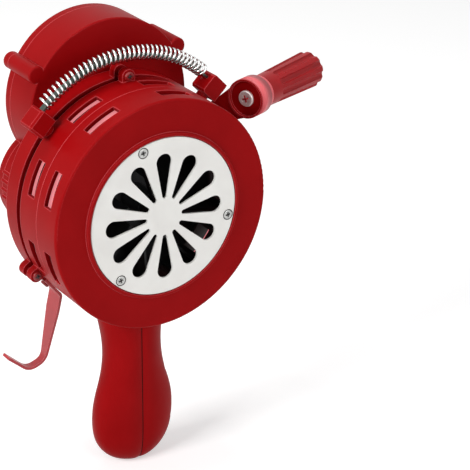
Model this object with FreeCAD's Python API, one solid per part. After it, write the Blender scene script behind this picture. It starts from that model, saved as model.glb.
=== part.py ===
import FreeCAD, Part
import math
import os

# Hand crank siren, held upright by its grip. Millimetres, +Z up, the sound grille faces -Y.
# The origin is on the rotor's axis, in the seam between the front cover and the middle shell.

V = FreeCAD.Vector
os.makedirs("parts", exist_ok=True)

# Drum
drum_r = 65.0
wall = 2.5
cover_depth = 20.6
face_edge_r = 1.2
shell_depth = 18.0
groove_width = 4.2
groove_depth = 3.0
ring_depth = 11.3
case_gap = 0.5
bulkhead_wall = 3.0

# Side slots, two rows round the drum
slot_count = 9
slot_first_deg = 37.6
slot_span_deg = 17.6
slot_skipped_deg = 277.6
cover_slot_from_face = 7.4
shell_slot_from_seam = 4.6
slot_width = 7.1

# Grille plate and its three screws
grille_r = 44.5
grille_thick = 1.2
grille_recess = 0.4
grille_gap = 0.5
lip_rise = 1.6
lip_width = 2.0
lip_edge_r = 0.7
ledge_r = 37.6
ledge_wall = 2.0
grille_slots = 12
slot_outer_at = 31.2
slot_outer_r = 4.7
slot_inner_at = 11.9
slot_inner_r = 1.3
grille_screw_at = 41.0
grille_screw_deg = 108.0
screw_head_r = 2.7
screw_head_h = 0.8
screw_dimple = 0.5
screw_shank_r = 1.3
screw_length = 5.0

# Front bearing bracket behind the grille
spoke_count = 3
spoke_width = 4.0
spoke_depth = 3.5
bracket_hub_r = 11.0
bearing_r = 8.0
bearing_width = 5.0
shaft_r = 3.0
shaft_play = 0.05

# Rotor and stator
rotor_rim_r = 48.0
rotor_rim_wall = 1.5
rotor_front = -11.0
rotor_back = 12.0
rotor_disc = 1.6
rotor_hub_r = 8.0
rotor_blades = 9
blade_wall = 1.4
blade_in_r = 15.0
blade_sweep_deg = 28.0
port_deg = 20.0
stator_in_r = 49.2
stator_wall = 2.0
stator_front = -14.0
flange_gap = 1.9
flange_wall = 3.7
cover_flange_at = -5.8
shell_flange_at = 12.6

# Screw bosses that hold the shells together
boss_count = 3
boss_r = 3.8
boss_rise = 2.9
boss_length = 4.6
boss_head_r = 2.6

# Gear case: one round over the drum, one round above it
case_low_r = 42.6
case_side_r = 30.6
case_side_x = 24.4
case_top_r = 48.1
case_rise = 45.8
case_depth = 29.6
case_wall = 2.2
case_lid = 5.6
ear_x = 43.4
ear_above = 24.6
ear_r = 4.8
lower_ear_deg = 50.0
rib_r = 1.0
rib_degs = (162.0, 171.0, 180.0, 189.0)
vent_r = 1.8
vent_deg = 150.0
vent_from_front = 17.0

# Gear train. Centre distance is the case's rise.
sleeve_teeth = 60
layshaft_pinion_teeth = 12
wheel_teeth = 48
rotor_pinion_teeth = 16
gear_width = 3.0
gear_play = 0.6
layshaft_r = 3.0
bush_r = 5.0
pressure_deg = 22.0
bevel_module = 0.8
crank_bevel_teeth = 24
sleeve_bevel_teeth = 16
bevel_width = 3.6

# Crank: its shaft is swept back and dips a little, and it meets the rotor's axis inside the case
crank_sweep_deg = 24.0
crank_dip_deg = 3.0
bevel_apex_y = 52.6
crank_radius = 72.0
crank_rest_deg = 32.6
crank_shaft_r = 4.0
crank_face_at = 60.9
arm_thick = 6.5
arm_hub_r = 11.0
arm_eye_r = 11.4
arm_waist = 13.0
eye_depth = 9.0
eye_rim = 1.2
eye_rim_h = 1.8
snout_r = 8.5
snout_from = 19.0
snout_end = 56.5
crank_bush_wall = 2.0
crank_spacer_r = 7.5
crank_gap = 0.1
crank_nut_r = 6.5
crank_nut_h = 4.5

# Knob on the crank
knob_length = 56.5
knob_near_r = 9.3
knob_far_r = 11.0
knob_flutes = 10
flute_r = 2.2
flute_depth = 1.6
flute_from = 13.0
knob_end_r = 2.0
knob_axle_r = 3.5
knob_cap_r = 6.6
knob_cap_h = 3.0
axle_flange_r = 5.2
axle_flange_h = 2.0
collar_r = 10.4
collar_h = 3.4
knob_float = 0.3
knob_screw_head_r = 4.7
knob_screw_head_h = 1.6

# Grip: each row is its drop under the drum's edge, half width, front, and depth front to back
grip_front_y = 3.7
grip_drops = [
    (-5.0, 20.9, 0.0, 23.2), (11.0, 19.3, 0.0, 22.6), (27.0, 17.6, 0.0, 21.0), (41.0, 18.9, 0.0, 20.4),
    (54.0, 22.4, 0.0, 20.6), (66.0, 24.9, 0.0, 21.4), (77.0, 25.0, 0.1, 22.2), (85.5, 23.6, 0.5, 22.0),
    (92.0, 20.6, 1.5, 20.2), (96.5, 16.6, 3.0, 17.2), (99.4, 11.8, 4.9, 13.4), (101.0, 6.0, 7.2, 8.8)]
grip_rows = [(drum_r + drop, half, front, depth) for drop, half, front, depth in grip_drops]
grip_wall = 2.6
grip_cavity_top = drum_r + 25.0
grip_cavity_end = drum_r + 87.0
case_clearance = 20.0
tongue_half = 5.0
tongue_y = (8.6, 17.4)
tongue_drop = drum_r + 20.0
grip_screw_heights = (drum_r + 13.0, drum_r + 47.0, drum_r + 79.0)
grip_screw_y = 13.0
grip_screw_r = 1.5
grip_screw_head_r = 3.0
grip_screw_head_h = 2.2
grip_boss_r = 3.6

# Carrying handle: a steel strap inside a close spring, held by two blocks on the drum
handle_y = 17.5
handle_rise = 8.0
handle_arc_r = drum_r + handle_rise
handle_arc_z = 6.0
handle_half_deg = 42.2
coil_r = 3.5
coil_wire_r = 0.65
coil_turns = 38
coil_start_deg = 125.0
coil_end_bend = 1.6
coil_end_straight = 2.6
strap_width = 4.0
strap_thick = 1.2
strap_drop = 1.2
block_rise = 8.8
block_at_r = drum_r + block_rise
block_left_deg = 44.5
block_right_deg = 43.4
block_size = (12.0, 12.0, 11.4)
block_chamfer = 1.2
block_neck_r = 3.4
block_bolt_r = 1.2
block_bolt_length = 9.0

# Belt hook, a bent strip on the lower left of the drum
hook_y = 20.0
hook_width = 12.0
hook_tip_width = 5.0
hook_thick = 1.6
hook_plate_deg = (215.5, 227.0)
hook_screw_deg = 220.5
hook_screw_head_r = 2.4
hook_steps = [(9.37, -11.59), (-0.03, -50.79), (-10.03, -54.39), (-22.63, -42.79)]
hook_bends = (3.0, 7.0, 7.5)
hook_taper_drops = (21.8, 49.8)

# Places along the rotor's axis
face_y = -cover_depth
lip_y = face_y - lip_rise
grille_y = lip_y + grille_recess
groove_y = shell_depth
ring_y = groove_y + groove_width
ring_back_y = ring_y + ring_depth
case_y = ring_back_y + case_gap
case_back_y = case_y + case_depth
lid_y = case_back_y - case_lid
inner_r = drum_r - wall
flange_r = inner_r - flange_gap
groove_r = drum_r - groove_depth
wheel_y = case_y + case_wall + gear_play
sleeve_y = wheel_y + gear_width + 1.0


def cyl(radius, y0, y1, x=0.0, z=0.0):
    """A round bar along Y."""
    return Part.makeCylinder(radius, y1 - y0, V(x, y0, z), V(0, 1, 0))


def tube(outer, inner, y0, y1, x=0.0, z=0.0):
    """A round tube along Y."""
    return cyl(outer, y0, y1, x, z).cut(cyl(inner, y0 - 1.0, y1 + 1.0, x, z))


def polar(radius, degrees, y=0.0):
    """A point round the rotor's axis, seen from the front: 0 is right, 90 is up."""
    a = math.radians(degrees)
    return V(radius * math.cos(a), y, radius * math.sin(a))


def turned(shape, degrees):
    """The shape turned about the rotor's axis, from right towards up."""
    copy = shape.copy()
    copy.rotate(V(0, 0, 0), V(0, -1, 0), degrees)
    return copy


def fused(shapes):
    """One clean solid from several that meet."""
    whole = shapes[0]
    for other in shapes[1:]:
        whole = whole.fuse(other)
    return whole.removeSplitter()


def extruded(points, y0, y1):
    """A prism along Y from points given as (x, z)."""
    wire = Part.makePolygon([V(x, y0, z) for x, z in points + points[:1]])
    return Part.Face(wire).extrude(V(0, y1 - y0, 0))


def export(name, *solids):
    """Writes one node, with each piece as its own solid."""
    parts = []
    for shape in solids:
        parts.extend(shape.Solids)
    shape = parts[0] if len(parts) == 1 else Part.makeCompound(parts)
    shape.exportStep("parts/%s.step" % name)
    print("%-22s %2d solids %10.1f mm3 valid %s" % (name, len(parts), shape.Volume, shape.isValid()))


def pan_screw(at, direction, head_r, head_h, shank_r, length):
    """A pan head screw with a cross recess: at is under the head, direction points out of the hole."""
    head = Part.makeCylinder(head_r, head_h, V(0, 0, 0), V(0, 0, 1))
    rim = [e for e in head.Edges if abs(e.BoundBox.ZMin - head_h) < 1e-6]
    head = head.makeFillet(head_h * 0.6, rim)
    shank = Part.makeCylinder(shank_r, length, V(0, 0, -length), V(0, 0, 1))
    screw = fused([head, shank])
    for turn in (0.0, 90.0):
        bar = Part.makeBox(head_r * 1.1, head_r * 0.28, head_h, V(-head_r * 0.55, -head_r * 0.14, head_h * 0.45))
        bar.rotate(V(0, 0, 0), V(0, 0, 1), turn)
        screw = screw.cut(bar)
    screw.Placement = FreeCAD.Placement(at, FreeCAD.Rotation(V(0, 0, 1), direction))
    return screw


def side_slots(y0, y1, depth_r):
    """Cutters for one row of slots round the drum."""
    cutters = []
    for index in range(slot_count):
        middle = slot_first_deg + 360.0 / slot_count * index
        if abs(middle - slot_skipped_deg) < 1.0:
            continue
        sector = Part.makeCylinder(drum_r + 1.0, y1 - y0, V(0, y0, 0), V(0, -1, 0), slot_span_deg)
        wedge_in = [(0.0, 0.0)]
        for edge in (-0.5, 0.5):
            p = polar(2.0 * drum_r, middle + edge * slot_span_deg)
            wedge_in.append((p.x, p.z))
        wedge = extruded(wedge_in, y0, y1)
        del sector
        cutters.append(wedge.common(tube(drum_r + 1.0, depth_r, y0, y1)))
    return cutters


def boss_places():
    """Angles of the shell screws, the first at the top."""
    return [90.0 + 360.0 / boss_count * k for k in range(boss_count)]


# Front cover: a cup whose face is a flat ring with a ledge for the grille
def make_front_cover():
    cup = cyl(drum_r, face_y, 0.0)
    rim = [e for e in cup.Edges if abs(e.BoundBox.YMax - face_y) < 1e-6]
    cup = cup.makeFillet(face_edge_r, rim)
    raised = cyl(grille_r + grille_gap + lip_width, lip_y, face_y + 0.5)
    raised = raised.makeFillet(lip_edge_r, [e for e in raised.Edges if abs(e.BoundBox.YMax - lip_y) < 1e-6])
    cup = fused([cup, raised])
    seat_y = grille_y + grille_thick
    cup = cup.cut(cyl(inner_r, seat_y + ledge_wall, 1.0))
    cup = cup.cut(cyl(grille_r + grille_gap, lip_y - 1.0, seat_y))
    cup = cup.cut(cyl(ledge_r, lip_y - 1.0, seat_y + ledge_wall + 1.0))
    lip = [e for e in cup.Edges
           if abs(e.BoundBox.YMax - lip_y) < 1e-6 and abs(e.BoundBox.XMax - grille_r - grille_gap) < 1e-6]
    cup = cup.makeFillet(min(1.1, grille_recess * 0.6), lip)
    hub_y = seat_y + 0.4
    pieces = [cup, cyl(bracket_hub_r, hub_y, hub_y + bearing_width + 1.5)]
    for k in range(spoke_count):
        reach = Part.makeBox(ledge_r + 2.0, spoke_depth, spoke_width, V(0, hub_y, -spoke_width / 2))
        pieces.append(turned(reach, grille_screw_deg + 360.0 / spoke_count * k))
        pieces.append(cyl(screw_head_r + 0.6, seat_y, hub_y + spoke_depth + 1.5,
                          *[polar(grille_screw_at, grille_screw_deg + 360.0 / spoke_count * k)[i] for i in (0, 2)]))
    cover = fused(pieces)
    cover = cover.cut(cyl(bearing_r, hub_y + 1.5, hub_y + bearing_width + 9.0))
    cover = cover.cut(cyl(shaft_r + 1.0, hub_y - 1.0, hub_y + 9.0))
    for p in screw_points():
        cover = cover.cut(cyl(screw_shank_r, seat_y - 1.0, seat_y + screw_length, p.x, p.z))
    y0 = face_y + cover_slot_from_face
    for cutter in side_slots(y0, y0 + slot_width, inner_r - 1.0):
        cover = cover.cut(cutter)
    return cover


def screw_points():
    """Where the grille screws stand."""
    return [polar(grille_screw_at, grille_screw_deg + 360.0 / spoke_count * k) for k in range(spoke_count)]


def make_grille():
    back = grille_y + grille_thick
    plate = cyl(grille_r, back - grille_thick, back)
    out_y, in_y = back - grille_thick - 1.0, back + 1.0
    lean = math.asin((slot_outer_r - slot_inner_r) / (slot_outer_at - slot_inner_at))
    c, s = math.cos(lean), math.sin(lean)
    flank = [
        (slot_outer_at - slot_outer_r * s, slot_outer_r * c), (slot_inner_at - slot_inner_r * s, slot_inner_r * c),
        (slot_inner_at - slot_inner_r * s, -slot_inner_r * c), (slot_outer_at - slot_outer_r * s, -slot_outer_r * c)]
    drop = fused([extruded(flank, out_y, in_y), cyl(slot_outer_r, out_y, in_y, slot_outer_at),
                  cyl(slot_inner_r, out_y, in_y, slot_inner_at)])
    for k in range(grille_slots):
        plate = plate.cut(turned(drop, 90.0 + 360.0 / grille_slots * k))
    for p in screw_points():
        plate = plate.cut(cyl(screw_shank_r + 0.2, out_y, in_y, p.x, p.z))
        plate = plate.cut(cyl(screw_head_r + 0.1, out_y, back - grille_thick + screw_dimple, p.x, p.z))
    return plate


def make_grille_screws():
    top = grille_y + screw_dimple
    screws = []
    for p in screw_points():
        at = V(p.x, top, p.z)
        screws.append(pan_screw(at, V(0, -1, 0), screw_head_r, screw_head_h, screw_shank_r, screw_length))
    return screws


front_hub_y = grille_y + grille_thick + 0.4
front_bearing_y = front_hub_y + 1.5


def make_bearing(y0, width):
    """A ball bearing as one ring that fits its seat and its shaft."""
    ring = tube(bearing_r, shaft_r, y0, y0 + width)
    for face in (y0, y0 + width - 0.4):
        ring = ring.cut(tube(bearing_r - 1.4, shaft_r + 1.4, face, face + 0.4))
    return ring


# Stator: the fixed ported ring round the rotor; its two flanges show through the side slots
def make_stator():
    back = shell_flange_at + flange_wall
    ring = tube(stator_in_r + stator_wall, stator_in_r, stator_front, back)
    flanges = [tube(flange_r, stator_in_r + stator_wall / 2, y, y + flange_wall)
               for y in (cover_flange_at, shell_flange_at)]
    stator = fused([ring] + flanges)
    for low, high in ((stator_front + 2.0, cover_flange_at - 1.0),
                      (cover_flange_at + flange_wall + 1.0, shell_flange_at - 1.0)):
        for k in range(rotor_blades):
            middle = slot_first_deg + 360.0 / rotor_blades * k
            p, q = [polar(2 * stator_in_r, middle + e * port_deg) for e in (-0.5, 0.5)]
            wedge = extruded([(0.0, 0.0), (p.x, p.z), (q.x, q.z)], low, high)
            stator = stator.cut(wedge.common(tube(stator_in_r + stator_wall + 1.0, stator_in_r - 1.0, low, high)))
    return stator


# Rotor: a fan wheel with swept blades and a ported rim
def make_rotor():
    rim = tube(rotor_rim_r, rotor_rim_r - rotor_rim_wall, rotor_front, rotor_back)
    disc = cyl(rotor_rim_r, rotor_back - rotor_disc, rotor_back)
    hub = cyl(rotor_hub_r, rotor_front + 3.0, rotor_back + 3.0)
    for k in range(rotor_blades):
        p, q = [polar(2 * rotor_rim_r, 360.0 / rotor_blades * k + e * port_deg) for e in (-0.5, 0.5)]
        wedge = extruded([(0.0, 0.0), (p.x, p.z), (q.x, q.z)], rotor_front + 2.0, rotor_back - 4.0)
        rim = rim.cut(wedge.common(tube(rotor_rim_r + 1.0, rotor_rim_r - 4.0, rotor_front, rotor_back)))
    pieces = [rim, disc, hub]
    length = rotor_rim_r - blade_in_r + 2.0
    for k in range(rotor_blades):
        blade = Part.makeBox(length, rotor_back - rotor_front - 1.0, blade_wall,
                             V(0, rotor_front + 1.0, -blade_wall / 2))
        blade.rotate(V(0, 0, 0), V(0, -1, 0), blade_sweep_deg)
        blade.translate(V(blade_in_r, 0, 0))
        blade = blade.common(cyl(rotor_rim_r - rotor_rim_wall / 2, rotor_front, rotor_back))
        pieces.append(turned(blade, 360.0 / rotor_blades * (k + 0.5) - blade_sweep_deg / 2))
    return fused(pieces).cut(cyl(shaft_r, rotor_front - 5.0, rotor_back + 9.0))


# Middle shell: the drum's second part, with the dark groove and the bulkhead behind the rotor
def make_mid_shell():
    pieces = [tube(drum_r, inner_r, 0.0, groove_y), tube(drum_r, flange_r - 1.6, shell_flange_at + flange_wall, groove_y),
              tube(groove_r, flange_r - 1.6, groove_y - 1.0, ring_y), cyl(groove_r, ring_y - bulkhead_wall, ring_y)]
    for a in boss_places():
        p = polar(drum_r + boss_rise, a)
        pieces.append(cyl(boss_r, groove_y - boss_length, groove_y, p.x, p.z))
        foot = Part.makeBox(boss_rise + 3.0, boss_length, 2 * boss_r, V(drum_r - 1.0 - 1.0, groove_y - boss_length, -boss_r))
        pieces.append(turned(foot.common(cyl(drum_r + boss_rise, 0.0, groove_y)), a))
    shell = fused(pieces)
    shell = shell.cut(cyl(shaft_r + 2.0, 0.0, ring_y + 1.0))
    tongue = make_tongue().cut(cyl(inner_r + 1.0, 0.0, groove_y))
    screw_hole = Part.makeCylinder(grip_screw_r, 60.0, V(-30, grip_screw_y, -grip_screw_heights[0]), V(1, 0, 0))
    shell = shell.fuse(tongue.cut(screw_hole))
    shell = shell.cut(cyl(inner_r, -1.0, shell_flange_at + flange_wall))
    for p in body_screw_points():
        shell = shell.cut(cyl(screw_shank_r, 0.0, groove_y + 1.0, p.x, p.z))
    for cutter in side_slots(shell_slot_from_seam, shell_slot_from_seam + slot_width, inner_r - 1.0):
        shell = shell.cut(cutter)
    return shell


def body_screw_points():
    """Where the shell screws stand."""
    return [polar(drum_r + boss_rise, a) for a in boss_places()]


def make_rear_ring():
    pieces = [tube(drum_r, inner_r, ring_y, ring_back_y), cyl(drum_r, ring_back_y - wall, ring_back_y)]
    for a in boss_places():
        p = polar(drum_r + boss_rise, a)
        pieces.append(cyl(boss_r, ring_y, ring_y + boss_length, p.x, p.z))
        foot = Part.makeBox(boss_rise + 3.0, boss_length, 2 * boss_r, V(drum_r - 2.0, ring_y, -boss_r))
        pieces.append(turned(foot.common(cyl(drum_r + boss_rise, ring_y, ring_back_y)), a))
    ring = fused(pieces)
    ring = ring.cut(cyl(inner_r, ring_y - 1.0, ring_back_y - wall))
    ring = ring.cut(cyl(bearing_r + 4.0, ring_y, ring_back_y + 1.0))
    for p in body_screw_points():
        ring = ring.cut(cyl(screw_shank_r, ring_y - 1.0, ring_y + boss_length + 1.0, p.x, p.z))
    return ring


def make_body_screws():
    length = boss_length + groove_width + boss_length - 1.0
    return [pan_screw(V(p.x, groove_y - boss_length, p.z), V(0, -1, 0), boss_head_r, 1.4, screw_shank_r, length)
            for p in body_screw_points()]


# Gear case
def case_outline(y0, y1, grow=0.0):
    """The rounds of the case, larger or smaller by grow."""
    sides = [cyl(case_side_r + grow, y0, y1, side * case_side_x) for side in (-1, 1)]
    band = Part.makeBox(2 * case_side_x, y1 - y0, 2 * (case_side_r + grow), V(-case_side_x, y0, -case_side_r - grow))
    return fused([cyl(case_low_r + grow, y0, y1), cyl(case_top_r + grow, y0, y1, 0.0, case_rise), band] + sides)


def ear_points():
    """The case's four screw ears: two on the upper round, two on the lower one."""
    drop = polar(case_side_r + 1.0, -lower_ear_deg)
    low = [V(side * (case_side_x + drop.x), 0, drop.z) for side in (-1, 1)]
    return [V(-ear_x, 0, case_rise + ear_above), V(ear_x, 0, case_rise + ear_above)] + low


def with_ears(y0, y1):
    """The case's outline with its ears, as a solid block."""
    block = case_outline(y0, y1)
    for p in ear_points():
        block = block.fuse(cyl(ear_r, y0, y1, p.x, p.z))
    return block.removeSplitter()


def ear_tubes(y0, y1):
    """What stays solid round each ear's screw."""
    return [cyl(ear_r, y0, y1, p.x, p.z) for p in ear_points()]


def make_case_front():
    block = with_ears(case_y, lid_y)
    front_rim = [e for e in block.Edges if abs(e.BoundBox.YMax - case_y) < 1e-6]
    block = block.makeFillet(0.9, front_rim)
    hollow = case_outline(case_y + case_wall, lid_y + 1.0, -case_wall)
    for tube_solid in ear_tubes(case_y, lid_y + 1.0):
        hollow = hollow.cut(tube_solid)
    case = block.cut(hollow)
    boss_back = wheel_y - gear_play / 2
    boss_front = boss_back - bearing_width - 1.2
    pieces = [case, cyl(bearing_r + 3.0, boss_front, boss_back), cyl(bush_r + 2.0, case_y + 0.5, boss_back, 0.0, case_rise)]
    for a in rib_degs:
        p = polar(case_side_r, a)
        pieces.append(cyl(rib_r, case_y + 3.0, lid_y, p.x - case_side_x, p.z))
    case = fused(pieces)
    case = case.cut(cyl(bearing_r, boss_front - 1.0, boss_back - 1.2))
    case = case.cut(cyl(shaft_r + 1.0, boss_front, boss_back + 1.0))
    case = case.cut(cyl(bush_r, case_y + 1.2, boss_back + 1.0, 0.0, case_rise))
    vent_at = polar(case_side_r - 6.0, vent_deg, case_y + vent_from_front) - V(case_side_x, 0, 0)
    hole = Part.makeCylinder(vent_r, 12.0, vent_at, polar(1.0, vent_deg))
    case = case.cut(hole)
    for p in ear_points():
        case = case.cut(cyl(screw_shank_r, case_y + 8.0, lid_y + 1.0, p.x, p.z))
    return case


rear_bearing_y = wheel_y - gear_play / 2 - bearing_width - 1.2


def make_case_rear():
    block = with_ears(lid_y, case_back_y)
    back_rim = [e for e in block.Edges if abs(e.BoundBox.YMin - case_back_y) < 1e-6]
    block = block.makeFillet(0.9, back_rim)
    dome_r = crank_bevel_r() + 5.0
    dome = cyl(dome_r, lid_y, case_back_y + 3.4)
    snout = placed_on_crank(Part.makeCylinder(snout_r, snout_end - snout_from, V(0, 0, snout_from)))
    snout = snout.cut(cyl(300.0, -100.0, lid_y - 4.0))
    block = fused([block, dome, snout])
    hollow = case_outline(lid_y - 1.0, case_back_y - case_wall, -case_wall)
    for tube_solid in ear_tubes(lid_y - 1.0, case_back_y):
        hollow = hollow.cut(tube_solid)
    hollow = hollow.cut(placed_on_crank(Part.makeCylinder(snout_r, snout_end - snout_from, V(0, 0, snout_from))))
    lid = block.cut(hollow)
    lid = lid.cut(cyl(dome_r - case_wall, lid_y - 1.0, case_back_y + 3.4 - case_wall))
    lid = fused([lid, cyl(bush_r + 2.0, case_back_y - case_wall - 3.0, case_back_y - 0.5, 0.0, case_rise)])
    lid = lid.cut(cyl(bush_r, case_back_y - case_wall - 4.0, case_back_y - 1.2, 0.0, case_rise))
    bore_r = crank_shaft_r + crank_bush_wall
    lid = lid.cut(placed_on_crank(Part.makeCylinder(bore_r, snout_end, V(0, 0, snout_from - 6.0))))
    lid = lid.cut(placed_on_crank(Part.makeCylinder(crank_bevel_r() + 1.6, snout_from - 0.5, V(0, 0, -4.0))))
    for p in ear_points():
        lid = lid.cut(cyl(screw_shank_r + 0.2, lid_y - 1.0, case_back_y + 1.0, p.x, p.z))
    return max(lid.Solids, key=lambda s: s.Volume)


def make_case_screws():
    return [pan_screw(V(p.x, case_back_y, p.z), V(0, 1, 0), 2.8, 1.5, screw_shank_r, case_lid + 8.0)
            for p in ear_points()]


# Gears
def gear_points(teeth, module, tooth_at_deg, slack):
    """A spur gear's outline, with involute flanks thinned by slack at the pitch circle."""
    pitch_r = module * teeth / 2.0
    base_r = pitch_r * math.cos(math.radians(pressure_deg))
    tip_r = pitch_r + 0.8 * module
    root_r = pitch_r - 1.15 * module
    start_r = max(base_r, root_r + 0.05 * module)
    inv = math.tan(math.radians(pressure_deg)) - math.radians(pressure_deg)
    half = (math.pi * module / 2.0 - slack) / 2.0 / pitch_r
    flank = [(root_r, half + inv)]
    steps = 3
    for k in range(steps + 1):
        r = start_r + (tip_r - start_r) * k / steps
        roll = math.acos(min(1.0, base_r / r))
        flank.append((r, half + inv - (math.tan(roll) - roll)))
    points = []
    for t in range(teeth):
        middle = math.radians(tooth_at_deg) + 2 * math.pi * t / teeth
        for r, a in flank:
            points.append((r * math.cos(middle - a), r * math.sin(middle - a)))
        for r, a in reversed(flank):
            points.append((r * math.cos(middle + a), r * math.sin(middle + a)))
    return points


def spur(teeth, mate_teeth, y0, width, tooth_at_deg, x, z, slack=0.34):
    """A spur gear sized so that it and its mate fill the centre distance."""
    module = 2.0 * case_rise / (teeth + mate_teeth)
    points = [(x + px, z + pz) for px, pz in gear_points(teeth, module, tooth_at_deg, slack)]
    return extruded(points, y0, y0 + width)


def bevel_angles():
    """Shaft angle, crank cone, sleeve cone and cone distance of the bevel pair."""
    shaft_angle = math.pi / 2 + math.asin(math.sin(math.radians(crank_sweep_deg)))
    ratio = crank_bevel_teeth / sleeve_bevel_teeth
    sleeve_cone = math.atan2(math.sin(shaft_angle), ratio + math.cos(shaft_angle))
    crank_cone = shaft_angle - sleeve_cone
    distance = bevel_module * crank_bevel_teeth / 2.0 / math.sin(crank_cone)
    return shaft_angle, crank_cone, sleeve_cone, distance


def crank_bevel_r():
    return bevel_module * crank_bevel_teeth / 2.0


def bevel(teeth, cone, tooth_at_deg, slack=0.50):
    """A bevel gear with its apex at the origin and its axis along +Z, between two spheres."""
    distance = bevel_angles()[3]
    reach = distance * 1.6
    tall, deep = 0.8 * bevel_module / distance, 1.1 * bevel_module / distance
    pitch_r = distance * math.sin(cone)
    half = (math.pi * bevel_module / 2.0 - slack) / 2.0 / pitch_r
    lean = 0.8 * bevel_module * math.tan(math.radians(pressure_deg)) / pitch_r
    points = []
    height = reach * math.cos(cone + tall)
    for t in range(teeth):
        middle = math.radians(tooth_at_deg) + 2 * math.pi * t / teeth
        for angle, wide in ((cone - deep, half + lean * 1.2), (cone + tall, half - lean)):
            r = height * math.tan(angle)
            points.append(V(r * math.cos(middle - wide), r * math.sin(middle - wide), height))
        for angle, wide in ((cone + tall, half - lean), (cone - deep, half + lean * 1.2)):
            r = height * math.tan(angle)
            points.append(V(r * math.cos(middle + wide), r * math.sin(middle + wide), height))
    small = distance / reach * 0.3
    lower = [V(p.x * small, p.y * small, p.z * small) for p in points]
    big = Part.makePolygon(points + points[:1])
    tiny = Part.makePolygon(lower + lower[:1])
    horn = Part.makeLoft([tiny, big], True, True)
    gear = horn.common(Part.makeSphere(distance)).cut(Part.makeSphere(distance - bevel_width))
    return max(gear.Solids, key=lambda s: s.Volume)


def crank_frame():
    """Directions of the crank: along its shaft, and from the hub to the eye at rest."""
    sweep, dip = math.radians(crank_sweep_deg), math.radians(crank_dip_deg)
    along = V(math.cos(sweep) * math.cos(dip), math.sin(sweep), -math.cos(sweep) * math.sin(dip))
    up = V(0, 0, 1) - along * along.z
    up.normalize()
    forward = along.cross(up)
    rest = math.radians(crank_rest_deg)
    arm = forward * math.cos(rest) + up * math.sin(rest)
    return along, arm


def placed_on_crank(shape):
    """Moves a shape from the crank's own frame: Z along the shaft from the apex, X towards the eye."""
    along, arm = crank_frame()
    rotation = FreeCAD.Rotation(arm, along.cross(arm), along, "ZXY")
    moved = shape.copy()
    moved.Placement = FreeCAD.Placement(V(0, bevel_apex_y, 0), rotation).multiply(moved.Placement)
    return moved


def mesh_turn_on_crank():
    """Angle in the crank's frame of the direction towards the sleeve gear."""
    along, arm = crank_frame()
    front = V(0, -1, 0)
    flat = front - along * along.dot(front)
    flat.normalize()
    return math.degrees(math.atan2(flat.dot(along.cross(arm)), flat.dot(arm)))


def make_crank_bevel():
    cone = bevel_angles()[1]
    tooth = 360.0 / crank_bevel_teeth
    gear = bevel(crank_bevel_teeth, cone, mesh_turn_on_crank() + tooth / 2)
    distance = bevel_angles()[3]
    back = Part.makeCylinder(crank_bevel_r() - 1.7, 7.0, V(0, 0, distance * math.cos(cone) + 0.4))
    hub = Part.makeCylinder(crank_shaft_r + 1.6, snout_from - 1.0 - distance * 0.7, V(0, 0, distance * 0.7))
    gear = fused([gear, back, hub])
    gear = gear.cut(Part.makeCylinder(crank_shaft_r, 60.0, V(0, 0, distance * 0.75)))
    return placed_on_crank(gear)


def make_sleeve_gear():
    cone, distance = bevel_angles()[2], bevel_angles()[3]
    along = crank_frame()[0]
    crank_side = math.degrees(math.atan2(along.z, along.x))
    teeth = bevel(sleeve_bevel_teeth, cone, 0.0)
    # The bevel's own frame has its axis on +Z; it is laid along -Y, then turned to face the crank
    teeth.rotate(V(0, 0, 0), V(1, 0, 0), 90.0)
    teeth.translate(V(0, bevel_apex_y, 0))
    teeth = turned(teeth, crank_side)
    wheel = spur(sleeve_teeth, layshaft_pinion_teeth, sleeve_y, gear_width, 90.0, 0.0, 0.0)
    bevel_back = bevel_apex_y - distance * math.cos(cone)
    neck_r = distance * math.sin(cone) - 1.4
    neck = cyl(neck_r, sleeve_y, bevel_back + 0.6)
    sleeve = fused([wheel, neck, teeth])
    return sleeve.cut(cyl(shaft_r + shaft_play, sleeve_y - 5.0, bevel_apex_y + 9.0))


def make_layshaft_gears():
    pinion_at = 90.0 + 180.0 / layshaft_pinion_teeth
    pinion = spur(layshaft_pinion_teeth, sleeve_teeth, sleeve_y, gear_width + 1.0, pinion_at, 0.0, case_rise)
    wheel = spur(wheel_teeth, rotor_pinion_teeth, wheel_y, gear_width, 270.0, 0.0, case_rise)
    bore = cyl(layshaft_r, wheel_y - 9.0, sleeve_y + 19.0, 0.0, case_rise)
    wheel = fused([wheel, cyl(6.0, wheel_y, sleeve_y, 0.0, case_rise)])
    return wheel.cut(bore), pinion.cut(bore)


def make_rotor_pinion():
    tooth_at = 90.0 + 180.0 / rotor_pinion_teeth
    pinion = spur(rotor_pinion_teeth, wheel_teeth, wheel_y, gear_width, tooth_at, 0.0, 0.0)
    return pinion.cut(cyl(shaft_r, wheel_y - 1.0, wheel_y + 9.0))


def make_thrust_washer():
    """Sits between the rotor's pinion and the sleeve gear that runs loose behind it."""
    return tube(bush_r, shaft_r, wheel_y + gear_width, sleeve_y - crank_gap)


layshaft_front = case_y + case_wall - 0.6
layshaft_back = case_back_y - case_wall + 0.4


def make_layshaft_bushes():
    run = layshaft_r + shaft_play
    boss_back = wheel_y - gear_play / 2
    front = tube(bush_r, run, case_y + 1.2, boss_back, 0.0, case_rise)
    rear = tube(bush_r, run, case_back_y - case_wall - 3.0, case_back_y - 1.2, 0.0, case_rise)
    return front, rear


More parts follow.
